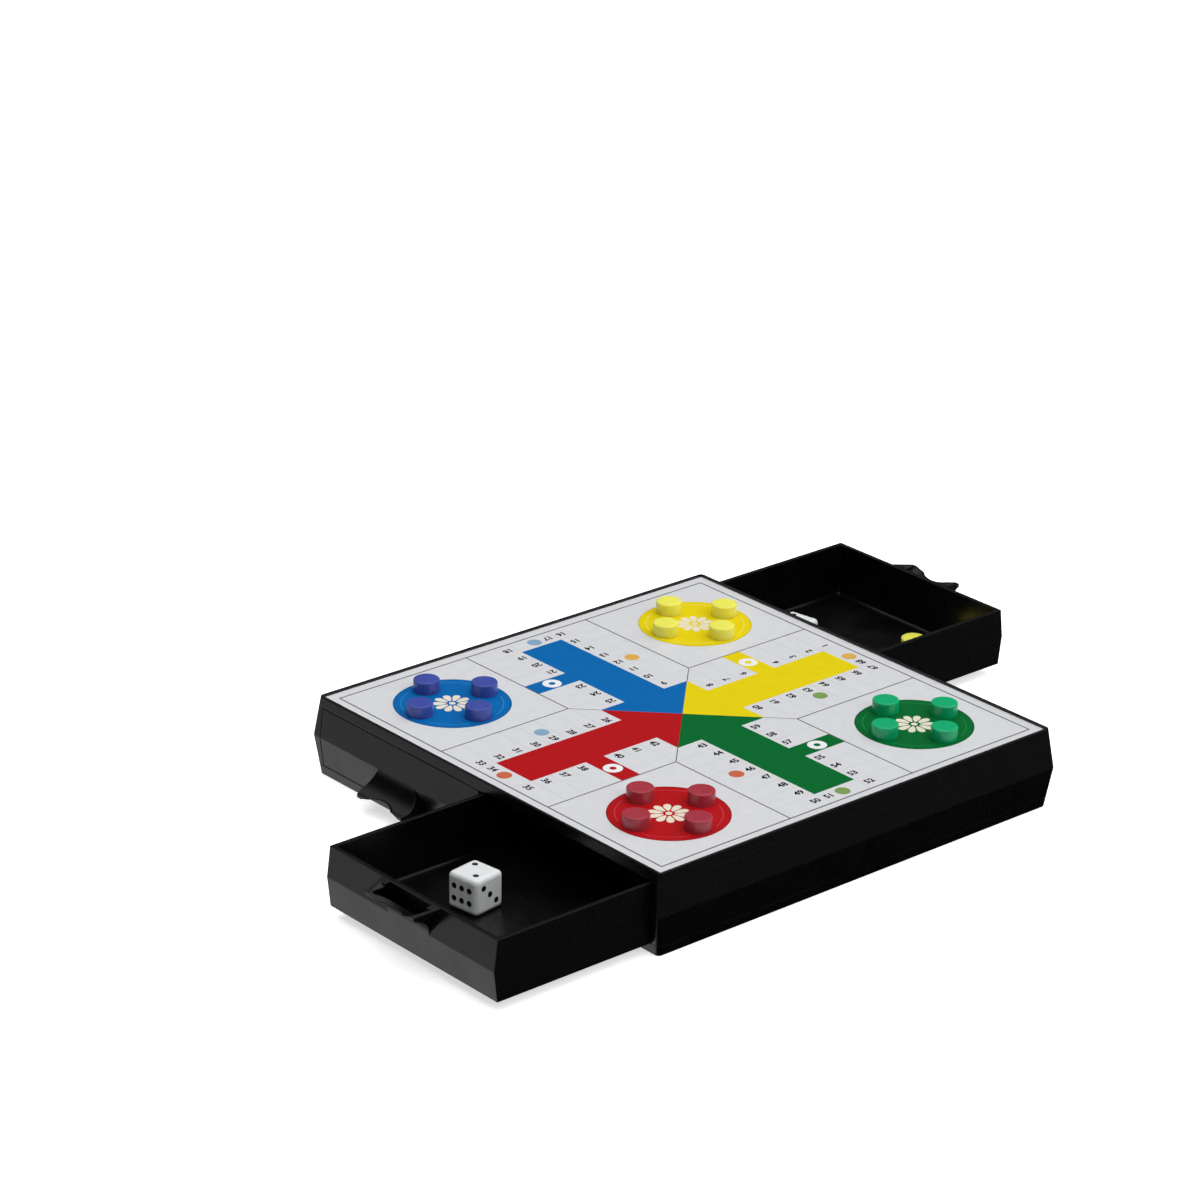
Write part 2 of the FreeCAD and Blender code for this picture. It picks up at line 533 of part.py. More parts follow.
def make_die(label, x, y, floor, turn):
    """One die: a rounded cube with a shallow round pit for each pip."""
    cube = doc.addObject("Part::Box", label + "_cube")
    for side in ("Length", "Width", "Height"):
        cube.setExpression(side, "sizes.die_side")
    put(cube, "-sizes.die_side / 2", "-sizes.die_side / 2", "-sizes.die_side / 2")
    doc.recompute()
    rounded = doc.addObject("Part::Fillet", label + "_rounded")
    rounded.Base = cube
    rounded.Edges = [(index, sheet.die_round, sheet.die_round) for index in range(1, 13)]
    pits = []
    for (axis, direction), steps in PIPS.items():
        for step_one, step_two in steps:
            pit = doc.addObject("Part::Sphere", label + "_pip")
            pit.setExpression("Radius", PIP_RADIUS)
            spot = {axis: f"{direction} * (sizes.die_side / 2 - sizes.pip_depth + {PIP_RADIUS})"}
            for other, step in zip(NEXT_AXES[axis], (step_one, step_two)):
                spot[other] = f"({step}) * sizes.pip_pitch"
            put(pit, spot["x"], spot["y"], spot["z"])
            pits.append(pit)
    cutters = doc.addObject("Part::Compound", label + "_pips")
    cutters.Links = pits
    die = doc.addObject("Part::Cut", label.title().replace("_", ""))
    die.Base = rounded
    die.Tool = cutters
    put(die, x, y, f"{floor} + sizes.die_side / 2", Rotation(Vector(0, 0, 1), turn))
    return finish(die, label)


make_die("die_front", "sizes.die_front_side", f"-{FRONT_RIM} + sizes.die_front_inset", DRAWER_INSIDE,
         sheet.die_front_turn)
make_die("die_back", "-sizes.die_back_side", f"{BACK_RIM} - sizes.die_back_inset", DRAWER_INSIDE,
         sheet.die_back_turn)

# Every object must be sound before anything is written
doc.recompute()
for item in doc.Objects:
    if "Invalid" in item.State or "Error" in item.State:
        raise RuntimeError(item.Label + " failed: " + ", ".join(item.State))
for piece in nodes:
    if piece.Shape.isNull() or not piece.Shape.isValid() or not piece.Shape.Solids:
        raise RuntimeError(piece.Label + " has no sound solid")

os.makedirs("parts", exist_ok=True)
for piece in nodes:
    piece.Shape.exportStep("parts/%s.step" % piece.Label)
print(len(nodes), "pieces written")
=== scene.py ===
# %% [markdown]
# # A magnetic parcheesi board
# The real thing is a flat black travel case. A printed steel sheet lies on each face, four drawers
# slide out of its quarters, and small pawns with a magnet in the foot stand on the steel. The CAD
# model already holds every solid in its place. This lesson adds what the eye needs: plastics and
# metals made of shader nodes, and the inks of the two printed games.

import bpy
import numpy as np
from mathutils import Matrix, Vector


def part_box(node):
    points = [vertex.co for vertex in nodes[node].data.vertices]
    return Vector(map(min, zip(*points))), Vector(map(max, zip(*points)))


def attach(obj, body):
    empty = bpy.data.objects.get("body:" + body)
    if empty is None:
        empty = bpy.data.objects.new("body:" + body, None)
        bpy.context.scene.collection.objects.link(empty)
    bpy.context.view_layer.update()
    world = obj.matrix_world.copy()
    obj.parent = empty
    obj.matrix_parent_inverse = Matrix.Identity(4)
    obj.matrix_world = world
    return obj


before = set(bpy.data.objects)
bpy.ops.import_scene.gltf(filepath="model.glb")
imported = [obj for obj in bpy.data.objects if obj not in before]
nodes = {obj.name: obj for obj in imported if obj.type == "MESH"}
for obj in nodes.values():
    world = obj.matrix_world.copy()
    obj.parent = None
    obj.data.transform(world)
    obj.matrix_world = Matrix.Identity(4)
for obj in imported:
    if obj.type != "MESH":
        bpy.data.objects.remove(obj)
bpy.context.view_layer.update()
MM = 0.001

# %% [markdown]
# ## Tools for materials
# Two small functions carry all the materials. One turns the sRGB hex value that a colour picker
# shows into the linear numbers that a shader wants. The other adds one node, sets its properties
# and either fills or links its inputs, so that a whole material reads as a short list.

# %% Colour and node helpers
def linear(hex_colour):
    """sRGB to linear light: c / 12.92 up to 0.04045, and ((c + 0.055) / 1.055) ** 2.4 above it."""
    srgb = np.array([int(hex_colour[at:at + 2], 16) for at in (1, 3, 5)]) / 255
    light = np.where(srgb <= 0.04045, srgb / 12.92, ((srgb + 0.055) / 1.055) ** 2.4)
    return (*light.tolist(), 1.0)


def add_node(tree, kind, inputs=None, **settings):
    """Add one node. Settings are its properties; an input gets a value, or a link from a socket."""
    made = tree.nodes.new(kind)
    for name, value in settings.items():
        setattr(made, name, value)
    for name, value in (inputs or {}).items():
        if isinstance(value, bpy.types.NodeSocket):
            tree.links.new(value, made.inputs[name])
        else:
            made.inputs[name].default_value = value
    return made


def empty_material(name):
    """A material with no nodes yet."""
    material = bpy.data.materials.new(name)
    material.use_nodes = True
    material.node_tree.nodes.clear()
    return material


def dress(names, material):
    """Give CAD nodes one material in place of the plain one they came with."""
    for name in names:
        mesh = nodes[name].data
        mesh.materials.clear()
        mesh.materials.append(material)
    print(material.name, "on", len(names), "nodes")


print("linear value of sRGB middle grey:", round(linear("#808080")[0], 3))

# %% [markdown]
# ## Moulded black ABS
# The case and the drawers are injection-moulded ABS, black right through. The mould was finished
# with a fine spark grain, so the surface is satin: it mirrors a bright table softly and stays black
# where there is nothing bright to mirror. A real moulding has no knife edges, so a Bevel node rounds
# the shading of every edge by less than a millimetre, and the rims catch a thin line of light.

# %% Black ABS
# A real spark grain is about a tenth of a millimetre. That is too fine to show, so it is drawn coarser.
SPARK_GRAIN = 0.7 * MM
GRAIN_DEPTH = 0.02 * MM
GLOSS_PATCH = 14 * MM
EDGE_ROUND = 0.7 * MM


def spark_grained_abs(name, dark, bright):
    """ABS with a fine bump of the spark grain and slow changes of gloss where hands have polished it."""
    material = empty_material(name)
    tree = material.node_tree
    place = add_node(tree, "ShaderNodeTexCoord").outputs["Object"]
    patch = add_node(tree, "ShaderNodeTexNoise", {"Vector": place, "Scale": 1 / GLOSS_PATCH, "Detail": 3.0})
    patch = patch.outputs["Fac"]
    gloss = add_node(tree, "ShaderNodeMapRange", {
        "Value": patch, "From Min": 0.3, "From Max": 0.7, "To Min": 0.23, "To Max": 0.32})
    tone = add_node(tree, "ShaderNodeMix", {
        "Factor": patch, "A": linear(dark), "B": linear(bright)}, data_type="RGBA")
    grain = add_node(tree, "ShaderNodeTexNoise", {"Vector": place, "Scale": 1 / SPARK_GRAIN, "Detail": 2.0})
    rounded = add_node(tree, "ShaderNodeBevel", {"Radius": EDGE_ROUND}, samples=4)
    bump = add_node(tree, "ShaderNodeBump", {
        "Height": grain.outputs["Fac"], "Strength": 0.35, "Distance": GRAIN_DEPTH,
        "Normal": rounded.outputs["Normal"]})
    shader = add_node(tree, "ShaderNodeBsdfPrincipled", {
        "Base Color": tone.outputs["Result"], "Roughness": gloss.outputs["Result"],
        "Normal": bump.outputs["Normal"], "IOR": 1.5})
    add_node(tree, "ShaderNodeOutputMaterial", {"Surface": shader.outputs["BSDF"]})
    return material


black_abs = spark_grained_abs("black_abs_spark_grain", dark="#050506", bright="#08080a")
drawers = [name for name in nodes if name.startswith("drawer_")]
dress(["case_frame", "top_panel", "bottom_panel", *drawers], black_abs)

# %% [markdown]
# ## Printed tin
# Each game is printed on a thin steel sheet, as on a biscuit tin: a pale base coat, then flat inks,
# then a varnish. The varnish levels out with a slight orange peel a millimetre or two across, and the
# inks are a little uneven. One function makes the base coat and all the inks, with only the colour
# changed, so that they look like one print.

# %% Base coats
ORANGE_PEEL = 1.6 * MM
PEEL_DEPTH = 0.01 * MM
INK_MOTTLE = 5 * MM


def lithograph_ink(name, colour):
    """A varnished ink: the colour a few percent uneven, with a faint orange peel in its gloss."""
    material = empty_material(name)
    tree = material.node_tree
    place = add_node(tree, "ShaderNodeTexCoord").outputs["Object"]
    mottle = add_node(tree, "ShaderNodeTexNoise", {"Vector": place, "Scale": 1 / INK_MOTTLE, "Detail": 4.0})
    mottle = mottle.outputs["Fac"]
    depth = add_node(tree, "ShaderNodeMapRange", {"Value": mottle, "To Min": 0.94, "To Max": 1.06})
    depth = depth.outputs["Result"]
    tone = add_node(tree, "ShaderNodeHueSaturation", {"Value": depth, "Color": linear(colour)})
    peel = add_node(tree, "ShaderNodeTexNoise", {"Vector": place, "Scale": 1 / ORANGE_PEEL, "Detail": 1.0})
    bump = add_node(tree, "ShaderNodeBump", {
        "Height": peel.outputs["Fac"], "Strength": 0.2, "Distance": PEEL_DEPTH})
    gloss = add_node(tree, "ShaderNodeMapRange", {"Value": mottle, "To Min": 0.2, "To Max": 0.3})
    shader = add_node(tree, "ShaderNodeBsdfPrincipled", {
        "Base Color": tone.outputs["Color"], "Roughness": gloss.outputs["Result"],
        "Normal": bump.outputs["Normal"], "IOR": 1.5, "Specular IOR Level": 0.12})
    add_node(tree, "ShaderNodeOutputMaterial", {"Surface": shader.outputs["BSDF"]})
    return material


dress(["parcheesi_sheet"], lithograph_ink("tin_pale_grey", "#d9dadd"))
dress(["track_sheet"], lithograph_ink("tin_salmon", "#e29184"))

# %% [markdown]
# ## Pawns, dice and magnets
# The pawns are glossy polystyrene tinted in the mass. A little light goes into them and comes out
# again, which is subsurface scattering in the shader. The dice are white urea resin, harder and
# denser, polished in a tumbler. The magnets are sintered discs with a nickel plating.

# %% Tinted polystyrene and white resin
FLOW_MARK = 3 * MM
FLOW_DEPTH = 0.02 * MM


def polished_resin(name, colour, roughness, scatter, depth, mark):
    """A glossy resin: flow marks change its tone and gloss a little, and light scatters just under it."""
    material = empty_material(name)
    tree = material.node_tree
    place = add_node(tree, "ShaderNodeTexCoord").outputs["Object"]
    flow = add_node(tree, "ShaderNodeTexNoise", {"Vector": place, "Scale": 1 / mark, "Detail": 3.0})
    flow = flow.outputs["Fac"]
    value = add_node(tree, "ShaderNodeMapRange", {"Value": flow, "To Min": 0.93, "To Max": 1.07})
    value = value.outputs["Result"]
    tone = add_node(tree, "ShaderNodeHueSaturation", {"Value": value, "Color": linear(colour)})
    gloss = add_node(tree, "ShaderNodeMapRange", {
        "Value": flow, "To Min": roughness - 0.05, "To Max": roughness + 0.07})
    bump = add_node(tree, "ShaderNodeBump", {"Height": flow, "Strength": 0.15, "Distance": FLOW_DEPTH})
    shader = add_node(tree, "ShaderNodeBsdfPrincipled", {
        "Base Color": tone.outputs["Color"], "Roughness": gloss.outputs["Result"], "IOR": 1.55,
        "Normal": bump.outputs["Normal"], "Subsurface Weight": scatter, "Subsurface Scale": depth,
        "Subsurface Radius": (1.0, 1.0, 1.0)})
    add_node(tree, "ShaderNodeOutputMaterial", {"Surface": shader.outputs["BSDF"]})
    return material


PAWN_COLOURS = {"yellow": "#fff666", "green": "#0fb377", "red": "#ad3a48", "blue": "#4454aa"}
for colour, value in PAWN_COLOURS.items():
    tinted = [name for name in nodes if name.startswith("pawn_" + colour)]
    if colour == "yellow":
        tinted.append("pawn_spare")
    polystyrene = polished_resin("polystyrene_" + colour, value, roughness=0.22, scatter=0.6,
                                 depth=2.5 * MM, mark=FLOW_MARK)
    dress(tinted, polystyrene)
urea = polished_resin("urea_white", "#eceff0", roughness=0.2, scatter=0.3, depth=0.8 * MM, mark=FLOW_MARK)
dress(["die_front", "die_back"], urea)

# %% Nickel
# Real tumbling marks are a few hundredths of a millimetre. They are drawn coarser, so that they show.
TUMBLE_MARK = 1.1 * MM


def nickel_plate(name, colour):
    """Bright nickel over a sintered disc, its gloss broken by fine tumbling marks."""
    material = empty_material(name)
    tree = material.node_tree
    place = add_node(tree, "ShaderNodeTexCoord").outputs["Object"]
    marks = add_node(tree, "ShaderNodeTexNoise", {"Vector": place, "Scale": 1 / TUMBLE_MARK, "Detail": 4.0})
    marks = marks.outputs["Fac"]
    gloss = add_node(tree, "ShaderNodeMapRange", {"Value": marks, "To Min": 0.18, "To Max": 0.4})
    shader = add_node(tree, "ShaderNodeBsdfPrincipled", {
        "Base Color": linear(colour), "Metallic": 1.0, "Roughness": gloss.outputs["Result"]})
    add_node(tree, "ShaderNodeOutputMaterial", {"Surface": shader.outputs["BSDF"]})
    return material


dress([name for name in nodes if name.startswith("magnet_")], nickel_plate("nickel_plate", "#b9b6ae"))

# %% [markdown]
# ## How an ink becomes a piece
# A print could be an image, but then it would blur in a close view. Here each ink is a piece of its
# own: closed outlines, each a curve worked out as a whole numpy array, carried straight up by the
# thickness of the ink and closed with a cap at both ends. Inks that lie on other inks use a higher
# layer, so no two surfaces share a place. From here on, sizes are in millimetres.

# %% Ink slabs
INK = 0.02
BOARD_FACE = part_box("parcheesi_sheet")[1].z / MM
TRACK_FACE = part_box("track_sheet")[0].z / MM


def on_board(outline, height):
    """Points of the parcheesi print, seen from above: (x, y, face + height)."""
    return np.column_stack([outline, np.full(len(outline), BOARD_FACE + height)])


def on_track(outline, height):
    """Points of the track print, seen from below: a half turn about the Y axis, (-x, y, face - height)."""
    return np.column_stack([-outline[:, 0], outline[:, 1], np.full(len(outline), TRACK_FACE - height)])


def new_piece(name, points, faces, material, body):
    """A mesh object at the origin, from points in millimetres, riding on a body."""
    mesh = bpy.data.meshes.new(name)
    mesh.from_pydata(points * MM, [], faces)
    mesh.materials.append(material)
    piece = bpy.data.objects.new(name, mesh)
    bpy.context.scene.collection.objects.link(piece)
    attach(piece, body)
    return piece


def print_ink(name, outlines, material, place=on_board, layer=1, slot="printed_board"):
    """Each anticlockwise outline p(t), swept from the layer's underside to its top, with two caps."""
    points = []
    faces = []
    start = 0
    for outline in outlines:
        count = len(outline)
        points += [place(outline, (layer - 1) * INK), place(outline, layer * INK)]
        low = start + np.arange(count)
        high = low + count
        walls = np.column_stack([low, np.roll(low, -1), np.roll(high, -1), high])
        faces += [low[::-1].tolist(), high.tolist(), *walls.tolist()]
        start += 2 * count
    new_piece(name, np.concatenate(points), faces, material, "case")
    print(name, len(outlines), "outlines")


print("parcheesi face at", round(BOARD_FACE, 2), "mm, track face at", round(TRACK_FACE, 2), "mm")

# %% Outlines that the two prints share
def bar(x0, x1, y0, y1):
    """A rectangle between two x and two y values."""
    return np.array([(x0, y0), (x1, y0), (x1, y1), (x0, y1)], float)


def disc(x, y, radius, sides=40):
    """A circle: (x + r cos t, y + r sin t)."""
    turn = np.linspace(0, 2 * np.pi, sides, endpoint=False)
    return np.column_stack([x + radius * np.cos(turn), y + radius * np.sin(turn)])


def arc_band(x, y, inner, outer, middle, spread, steps=16):
    """A piece of a ring: the outer arc one way, then the inner arc back. Angles are in degrees."""
    turn = np.radians(np.linspace(middle - spread / 2, middle + spread / 2, steps))
    spokes = np.column_stack([np.cos(turn), np.sin(turn)])
    return np.concatenate([outer * spokes, inner * spokes[::-1]]) + (x, y)


def petal(x, y, angle, near, far, width, steps=20):
    """A petal along a spoke: distance m + h cos t, and width w sin t (1 + 0.45 cos t) across it."""
    turn = np.linspace(0, 2 * np.pi, steps, endpoint=False)
    along = (near + far) / 2 + (far - near) / 2 * np.cos(turn)
    across = width / 2 * np.sin(turn) * (1 + 0.45 * np.cos(turn))
    cos, sin = np.cos(np.radians(angle)), np.sin(np.radians(angle))
    return np.column_stack([x + along * cos - across * sin, y + along * sin + across * cos])


def quarter_turns(outline, count):
    """An outline turned anticlockwise about the middle of the board by quarter turns."""
    cos, sin = (1, 0, -1, 0)[count % 4], (0, 1, 0, -1)[count % 4]
    return outline @ np.array([(cos, sin), (-sin, cos)], float)


print("a quarter turn takes (1, 0) to", quarter_turns(np.array([(1.0, 0.0)]), 1)[0])

# %% [markdown]
# ## The parcheesi cross
# The cross is one arm turned four times. Each arm has a coloured lane that widens to an arrowhead at
# the middle, a start cell to the right of the lane and a safe cell to the left. The sizes below were
# read off the photograph after it was straightened with the fitted camera.

# %% Sizes of the cross
# LANE and ARM are half widths. ARROW and BORDER are distances from the middle of the board.
LANE = 11.3
ARM = 34.4
ARROW = 24.6
CELL = 9.8
CELLS = 8
BORDER = ARROW + CELLS * CELL
START_CELL = 3
LINE = 0.6
start_low = ARROW + START_CELL * CELL
start_high = start_low + CELL
start_middle = (LANE + ARM) / 2
cell_middle = (start_low + start_high) / 2
lane_end = BORDER - CELL
line_in, line_out = ARM - LINE / 2, ARM + LINE / 2
print("arm", 2 * ARM, "mm wide, print", round(2 * BORDER, 1), "mm across")

# %% Inks of the cross
ARMS = ("red", "green", "yellow", "blue")


def ink_set(kind, *values):
    """One ink for each arm, in the order of the arms."""
    return {colour: lithograph_ink("%s_%s" % (kind, colour), value) for colour, value in zip(ARMS, values)}


inks = ink_set("ink", "#b5151b", "#046a2f", "#e8d20c", "#0568b0")
tints = ink_set("tint", "#c9694c", "#7d9f58", "#dfae55", "#86a9c6")
rims = ink_set("rim", "#8c1319", "#044f27", "#cdb80e", "#07528c")
pale = ink_set("arc", "#c23a40", "#1c7f49", "#eedf5a", "#2f80c2")
print("inks of the arms:", len(inks) + len(tints) + len(rims) + len(pale))

# %% Lanes, homes and safe cells
# HOME is how far the middle of a home lies from the middle of the board, along X and along Y.
HOME = 69.5
HOME_RADIUS = 25.4
HOME_RIM = 0.45
HOME_SIDES = 96
ARC_INNER, ARC_OUTER, ARC_SPREAD = 21.7, 22.2, 52
SAFE_RADIUS = 3.3
HUB_RADIUS = 1.5
DIAGONALS = (45, 135, 225, 315)
lane = np.array([
    (-LANE, -lane_end), (LANE, -lane_end), (LANE, -start_high), (line_in, -start_high),
    (line_in, -start_low), (LANE, -start_low), (LANE, -ARROW), (ARROW, -ARROW), (0, 0),
    (-ARROW, -ARROW), (-LANE, -ARROW)], float)
rim = disc(HOME, -HOME, HOME_RADIUS, HOME_SIDES)
home = disc(HOME, -HOME, HOME_RADIUS - HOME_RIM, HOME_SIDES)
arcs = [arc_band(HOME, -HOME, ARC_INNER, ARC_OUTER, middle, ARC_SPREAD) for middle in DIAGONALS]
hub = disc(start_middle, -cell_middle, HUB_RADIUS, sides=24)
end_dot = disc(0, CELL / 2 - BORDER, SAFE_RADIUS)
side_dot = disc(-start_middle, -cell_middle, SAFE_RADIUS)
for turn, colour in enumerate(ARMS):
    # The safe cell on the left of an arm has the colour of the arm before it.
    safe = [quarter_turns(end_dot, turn), quarter_turns(side_dot, turn + 1)]
    print_ink("print_lane_" + colour, [quarter_turns(lane, turn)], inks[colour])
    print_ink("print_rim_" + colour, [quarter_turns(rim, turn)], rims[colour])
    print_ink("print_home_" + colour, [quarter_turns(home, turn)], inks[colour], layer=2)
    print_ink("print_arcs_" + colour, [quarter_turns(item, turn) for item in arcs], pale[colour], layer=3)
    print_ink("print_safe_" + colour, safe, tints[colour])
    print_ink("print_hub_" + colour, [quarter_turns(hub, turn)], inks[colour], layer=3)

# %% [markdown]
# ## Rosettes, rings and lines
# Each home has a cream rosette of narrow petals in its middle, and each start cell a white ring. They
# lie on top of the colours, so they use higher layers. The grey lines round the homes and along the
# edge are bars that butt at the corners. The lines between cells are hairlines, as fine as a ruling
# pen draws, so from a normal distance they only just show.

# %% Rosettes and rings
PETALS = 10
EYE_RADIUS = 1.4
RING_RADIUS = 4.2


def on_all_arms(outlines):
    """The outlines of one arm, turned to all four."""
    return [quarter_turns(item, turn) for turn in range(len(ARMS)) for item in outlines]


cream = lithograph_ink("ink_cream", "#e9e2cf")
ring_white = lithograph_ink("ink_white", "#eff0f2")
flower = [petal(HOME, -HOME, 360 / PETALS * step, near=2.3, far=8.7, width=3.0) for step in range(PETALS)]
rosette = [disc(HOME, -HOME, EYE_RADIUS, sides=20), *flower]
ring = disc(start_middle, -cell_middle, RING_RADIUS)
print_ink("print_rosettes", on_all_arms(rosette), cream, layer=3)
print_ink("print_rings", on_all_arms([ring]), ring_white, layer=2)

# %% Lines and hairlines
# SLANT is how far the diagonal line reaches to each side, along X or Y.
HAIR = 0.16
EDGE_LINE = 0.7
EDGE_GAP = 0.35
SLANT = 0.3
line_grey = lithograph_ink("ink_line_grey", "#5f5e66")
hair_grey = lithograph_ink("ink_hair_grey", "#c3c3c9")
edge_in = BORDER + EDGE_GAP
edge_out = edge_in + EDGE_LINE
lines = [
    bar(line_in, line_out, -edge_in, -line_in),
    bar(line_out, edge_in, -line_out, -line_in),
    bar(-edge_out, edge_in, -edge_out, -edge_in),
    np.array([(ARROW, -ARROW - SLANT), (line_in - SLANT, -line_in), (line_in, SLANT - line_in),
              (ARROW + SLANT, -ARROW)]),
]
rows = np.arange(1, CELLS)
plain_rows = rows[(rows != START_CELL) & (rows != START_CELL + 1)]
hairs = [bar(x - HAIR / 2, x + HAIR / 2, -BORDER, -lane_end) for x in (LANE, -LANE)]
for low, high, ruled in ((-line_in, -LANE, rows), (LANE, line_in, plain_rows)):
    hairs += [bar(low, high, -y - HAIR / 2, HAIR / 2 - y) for y in ARROW + CELL * ruled]
print_ink("print_lines", on_all_arms(lines), line_grey)
print_ink("print_hairlines", on_all_arms(hairs), hair_grey)

# %% [markdown]
# ## Numbers
# The outer path has 68 cells, numbered round the cross. Blender's text object draws the digits with
# its built-in font. It is turned into a mesh first, and only then are its points turned and moved to
# their cell, so the finished piece sits at the origin like all others.

# %% Digits
# DIGIT_SHARE is the height of a digit in the built-in font, as a share of the font's size.
DIGIT_SHARE = 0.7
BOLD = 0.16


def digits(text, height):
    """Points and faces of a number as a slab about its own middle."""
    curve = bpy.data.curves.new("digits", "FONT")
    curve.body = text
    curve.size = height / DIGIT_SHARE
    curve.align_x = "CENTER"
    curve.align_y = "CENTER"
    curve.resolution_u = 3
    curve.extrude = INK / 2
    curve.offset = BOLD
    letters = bpy.data.objects.new("digits", curve)
    bpy.context.scene.collection.objects.link(letters)
    mesh = bpy.data.meshes.new_from_object(letters.evaluated_get(bpy.context.evaluated_depsgraph_get()))
    points = np.empty(len(mesh.vertices) * 3)
    mesh.vertices.foreach_get("co", points)
    faces = [list(face.vertices) for face in mesh.polygons]
    bpy.data.objects.remove(letters)
    bpy.data.curves.remove(curve)
    bpy.data.meshes.remove(mesh)
    return points.reshape(-1, 3), faces


def print_numbers(name, marks, height, material, place, layer):
    """All the numbers of one print as a piece. A mark is (text, x, y, quarter turns)."""
    points = []
    faces = []
    start = 0
    for text, x, y, turn in marks:
        shape, polygons = digits(text, height)
        flat = quarter_turns(shape[:, :2], turn) + (x, y)
        rise = shape[:, 2] + (layer - 0.5) * INK
        spots = place(flat, 0)
        spots[:, 2] += rise * (1 if place is on_board else -1)
        points.append(spots)
        faces += [[start + corner for corner in polygon] for polygon in polygons]
        start += len(shape)
    new_piece(name, np.concatenate(points), faces, material, "case")
    print(name, len(marks), "numbers")


# %% Numbers of the cross
# FIRST is the number of the red arm's first cell, on its left and next to the middle.
NUMBER_HEIGHT = 3.2
NUMBER_SIDE = 15.2
END_NUMBER_SIDE = 7.6
PATH = 68
FIRST = 26
black_ink = lithograph_ink("ink_black", "#1c1c22")
row_middles = ARROW + CELL * (np.arange(CELLS) + 0.5)
marks = []
for turn in range(len(ARMS)):
    first = FIRST + turn * (2 * CELLS + 1)
    last = first + 2 * CELLS
    cells = [(-NUMBER_SIDE, -y, first + step) for step, y in enumerate(row_middles)]
    cells.append((-END_NUMBER_SIDE, CELL / 2 - BORDER, first + CELLS))
    cells += [(NUMBER_SIDE, -y, last - step) for step, y in enumerate(row_middles) if step != START_CELL]
    for x, y, number in cells:
        spot = quarter_turns(np.array([(x, y)]), turn)[0]
        marks.append((str((number - 1) % PATH + 1), *spot, turn))
print_numbers("print_numbers", marks, NUMBER_HEIGHT, black_ink, on_board, 1)

# %% [markdown]
# ## The race track on the underside
# The other face has a plain race track in the same bright mix of colours: a square spiral of numbered
# cells that winds inwards to a panel with a sunburst. A spiral over a grid is easy to walk: go
# straight on, and turn left when the next cell is outside the grid or already used.

# %% Walk the spiral
TRACK_GRID = 9
TRACK_CELL = 22.6
CENTRE_CELLS = 3


def spiral_cells(size, hole):
    """Grid cells in the order of an inward spiral, ending before the square hole in the middle."""
    count = size * size - hole * hole
    walked = []
    column, row = 0, 0
    step = (1, 0)
    while len(walked) < count:
        walked.append((column, row))
        ahead = (column + step[0], row + step[1])
        if ahead in walked or not (0 <= ahead[0] < size and 0 <= ahead[1] < size):
            step = (-step[1], step[0])
        column += step[0]
        row += step[1]
    return walked


path = np.array(spiral_cells(TRACK_GRID, CENTRE_CELLS))
track_middles = (path - (TRACK_GRID - 1) / 2) * TRACK_CELL
print("track cells:", len(path))

# %% Shapes of cells and motifs
def cushion_square(x, y, half, steps=32, power=6):
    """A square with soft corners: the superellipse |u| ** p + |v| ** p = 1, scaled by half its side."""
    turn = np.linspace(0, 2 * np.pi, steps, endpoint=False) + np.pi / steps
    round_trip = np.column_stack([np.cos(turn), np.sin(turn)])
    return (x, y) + half * np.sign(round_trip) * np.abs(round_trip) ** (2 / power)


def star(x, y, inner, outer, points):
    """A star: the radius jumps between two values at equal angles."""
    turn = np.pi / 2 + np.arange(2 * points) * np.pi / points
    radius = np.where(np.arange(2 * points) % 2 == 0, outer, inner)
    return np.column_stack([x + radius * np.cos(turn), y + radius * np.sin(turn)])


def motif(kind, x, y):
    """One of six plain motifs: a dot, a star, four leaves, a lozenge, a horseshoe or a small sun."""
    return (
        [disc(x, y, radius=4.6)],
        [star(x, y, inner=2.4, outer=6.0, points=5)],
        [petal(x, y, angle, near=0.6, far=6.2, width=4.0) for angle in DIAGONALS],
        [star(x, y, inner=5.4, outer=5.4, points=2)],
        [arc_band(x, y, inner=3.2, outer=5.6, middle=90, spread=250)],
        [star(x, y, inner=4.4, outer=6.0, points=8)],
    )[kind]


print("corners of a cell:", len(cushion_square(0, 0, 1)))

# %% Cells and motifs
TRACK_COLOURS = ("#5878b5", "#e6c23c", "#5f9b5b", "#d98a45", "#8d79b2", "#cfd3c4")
MOTIF_COLOURS = ("#f0e9d6", "#b4413c", "#f3d65a", "#3f5f9e", "#eef0e4", "#3f8557")
CELL_MARGIN = 0.6
MOTIF_SHIFT = 1.6
half_cell = TRACK_CELL / 2 - CELL_MARGIN
track = {"place": on_track, "slot": "printed_track"}
for kind, (cell_colour, motif_colour) in enumerate(zip(TRACK_COLOURS, MOTIF_COLOURS)):
    chosen = track_middles[kind::len(TRACK_COLOURS)]
    squares = [cushion_square(x, y, half_cell) for x, y in chosen]
    motifs = [item for x, y in chosen for item in motif(kind, x + MOTIF_SHIFT, y - MOTIF_SHIFT)]
    cell_ink = lithograph_ink("track_ink_%d" % kind, cell_colour)
    motif_ink = lithograph_ink("motif_ink_%d" % kind, motif_colour)
    print_ink("track_cells_%d" % kind, squares, cell_ink, **track)
    print_ink("track_motifs_%d" % kind, motifs, motif_ink, layer=2, **track)

